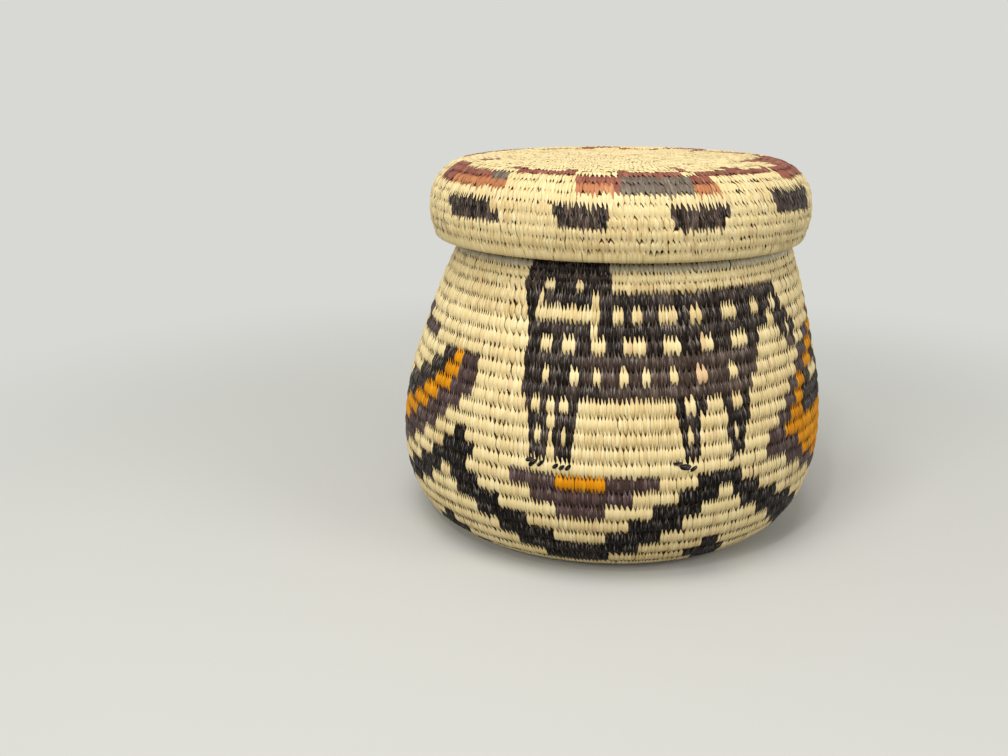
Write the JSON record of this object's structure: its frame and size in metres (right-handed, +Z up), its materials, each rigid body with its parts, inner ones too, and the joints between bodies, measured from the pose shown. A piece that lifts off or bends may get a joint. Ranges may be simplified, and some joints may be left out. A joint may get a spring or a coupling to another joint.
{
  "type": "coiled lidded basket",
  "caption": "Round coiled basket with a low full belly, an upright collar and a domed cap lid that lifts off.",
  "frame": {"origin": "bottom centre of the bounding box, on the surface that the basket stands on", "axes": "+Z up through the basket and its lid, -Y towards the side that shows the four-legged animal"},
  "size_m": [0.18, 0.1798, 0.1531],
  "materials": {
    "basket_coil": "satin",
    "lid_coil": "satin"
  },
  "bodies": {
    "basket": {"base_start": "basket_coil", "base_spiral": "basket_coil", "base_foot": "basket_coil", "heel_coils": "basket_coil", "lower_wall_coils": "basket_coil", "belly_coils": "basket_coil", "upper_wall_coils": "basket_coil", "shoulder_coils": "basket_coil", "collar_coils": "basket_coil", "rim_coil": "basket_coil"},
    "lid": {"lid_start": "lid_coil", "lid_top_spiral": "lid_coil", "lid_top_border": "lid_coil", "lid_shoulder_coils": "lid_coil", "lid_side_coils": "lid_coil", "lid_lip_coil": "lid_coil"}
  },
  "joints": [
    {"name": "lid_lift", "type": "slide", "parent": "basket", "child": "lid", "axis": [0, 0, 1], "range_m": [0, 0.08]}
  ]
}
